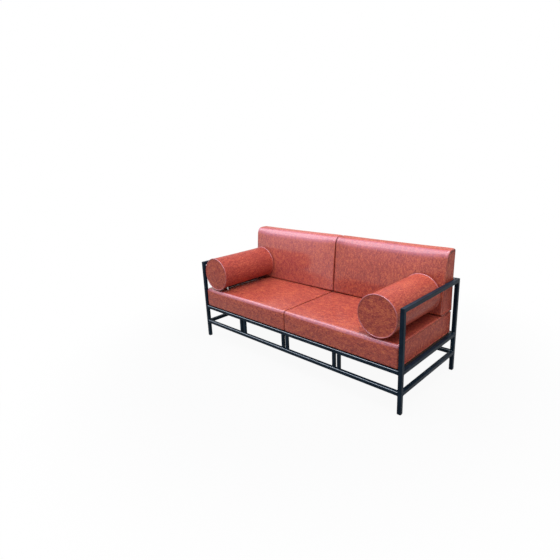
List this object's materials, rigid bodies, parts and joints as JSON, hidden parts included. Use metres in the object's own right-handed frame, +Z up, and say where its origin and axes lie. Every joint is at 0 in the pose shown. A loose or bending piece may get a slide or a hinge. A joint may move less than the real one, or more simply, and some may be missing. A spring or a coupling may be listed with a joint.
{
  "type": "two-seat sofa",
  "caption": "Straight two-seat sofa: black square-tube steel frame with loose red-brown seat and back cushions and a round bolster at each arm.",
  "frame": {"origin": "on the floor, midway between the outer faces of the four posts", "axes": "+X to the right seen from the front, +Y to the back, +Z up"},
  "size_m": [1.8, 0.71, 0.8388],
  "materials": {
    "black_steel": "satin blue-black powder coat",
    "leatherette": "semi-gloss red-brown leatherette with a fine mottled grain",
    "foam": "upholstery foam in a wadding wrap",
    "plywood": "dark brown film-faced plywood",
    "zinc_screws": "zinc plate",
    "glide_plastic": "moulded black",
    "zip_black": "woven black tape with a nylon coil",
    "zip_metal": "bright nickel plate"
  },
  "bodies": {
    "frame": {"front_left_post": "black_steel", "front_right_post": "black_steel", "rear_left_post": "black_steel", "rear_right_post": "black_steel", "left_arm_rail": "black_steel", "right_arm_rail": "black_steel", "rear_top_rail": "black_steel", "front_seat_rail": "black_steel", "rear_seat_rail": "black_steel", "left_seat_rail": "black_steel", "right_seat_rail": "black_steel", "front_stretcher": "black_steel", "rear_stretcher": "black_steel", "left_stretcher": "black_steel", "right_stretcher": "black_steel", "front_spindles_left": "black_steel", "front_spindles_centre": "black_steel", "front_spindles_right": "black_steel", "back_spindles_left": "black_steel", "back_spindles_centre": "black_steel", "back_spindles_right": "black_steel", "left_bearer": "black_steel", "centre_left_bearer": "black_steel", "centre_right_bearer": "black_steel", "right_bearer": "black_steel", "left_ledge": "black_steel", "right_ledge": "black_steel", "left_deck_board": "plywood", "right_deck_board": "plywood", "deck_screws": "zinc_screws", "front_left_glide": "glide_plastic", "front_right_glide": "glide_plastic", "rear_left_glide": "glide_plastic", "rear_right_glide": "glide_plastic"},
    "left_seat_cushion": {"left_seat_foam": "foam", "left_seat_cover": "leatherette"},
    "left_back_cushion": {"left_back_foam": "foam", "left_back_cover": "leatherette"},
    "left_bolster": {"left_bolster_foam": "foam", "left_bolster_cover": "leatherette", "left_bolster_piping": "leatherette", "left_zip_tape": "zip_black"},
    "left_slider": {"left_zip_slider": "zip_metal"},
    "left_tab": {"left_pull_tab": "zip_metal"},
    "right_seat_cushion": {"right_seat_foam": "foam", "right_seat_cover": "leatherette"},
    "right_back_cushion": {"right_back_foam": "foam", "right_back_cover": "leatherette"},
    "right_bolster": {"right_bolster_foam": "foam", "right_bolster_cover": "leatherette", "right_bolster_piping": "leatherette", "right_zip_tape": "zip_black"},
    "right_slider": {"right_zip_slider": "zip_metal"},
    "right_tab": {"right_pull_tab": "zip_metal"}
  },
  "joints": [
    {"name": "left_seat_draw", "type": "slide", "parent": "frame", "child": "left_seat_cushion", "axis": [0, -1, 0], "range_m": [0, 0.3]},
    {"name": "left_back_lift", "type": "slide", "parent": "frame", "child": "left_back_cushion", "axis": [0, 0, 1], "range_m": [0, 0.2]},
    {"name": "left_bolster_lift", "type": "slide", "parent": "frame", "child": "left_bolster", "axis": [0, 0, 1], "range_m": [0, 0.2]},
    {"name": "left_zip_run", "type": "slide", "parent": "left_bolster", "child": "left_slider", "axis": [0, 1, 0], "range_m": [0, 0.42]},
    {"name": "left_tab_swing", "type": "hinge", "parent": "left_slider", "child": "left_tab", "pos_m": [-0.66502, -0.295, 0.44565], "axis": [0.8192, 0, 0.5736], "range_deg": [-90, 90]},
    {"name": "right_seat_draw", "type": "slide", "parent": "frame", "child": "right_seat_cushion", "axis": [0, -1, 0], "range_m": [0, 0.3]},
    {"name": "right_back_lift", "type": "slide", "parent": "frame", "child": "right_back_cushion", "axis": [0, 0, 1], "range_m": [0, 0.2]},
    {"name": "right_bolster_lift", "type": "slide", "parent": "frame", "child": "right_bolster", "axis": [0, 0, 1], "range_m": [0, 0.2]},
    {"name": "right_zip_run", "type": "slide", "parent": "right_bolster", "child": "right_slider", "axis": [0, 1, 0], "range_m": [0, 0.42]},
    {"name": "right_tab_swing", "type": "hinge", "parent": "right_slider", "child": "right_tab", "pos_m": [0.65002, -0.295, 0.44587], "axis": [-0.8192, 0, 0.5736], "range_deg": [-90, 90]}
  ]
}
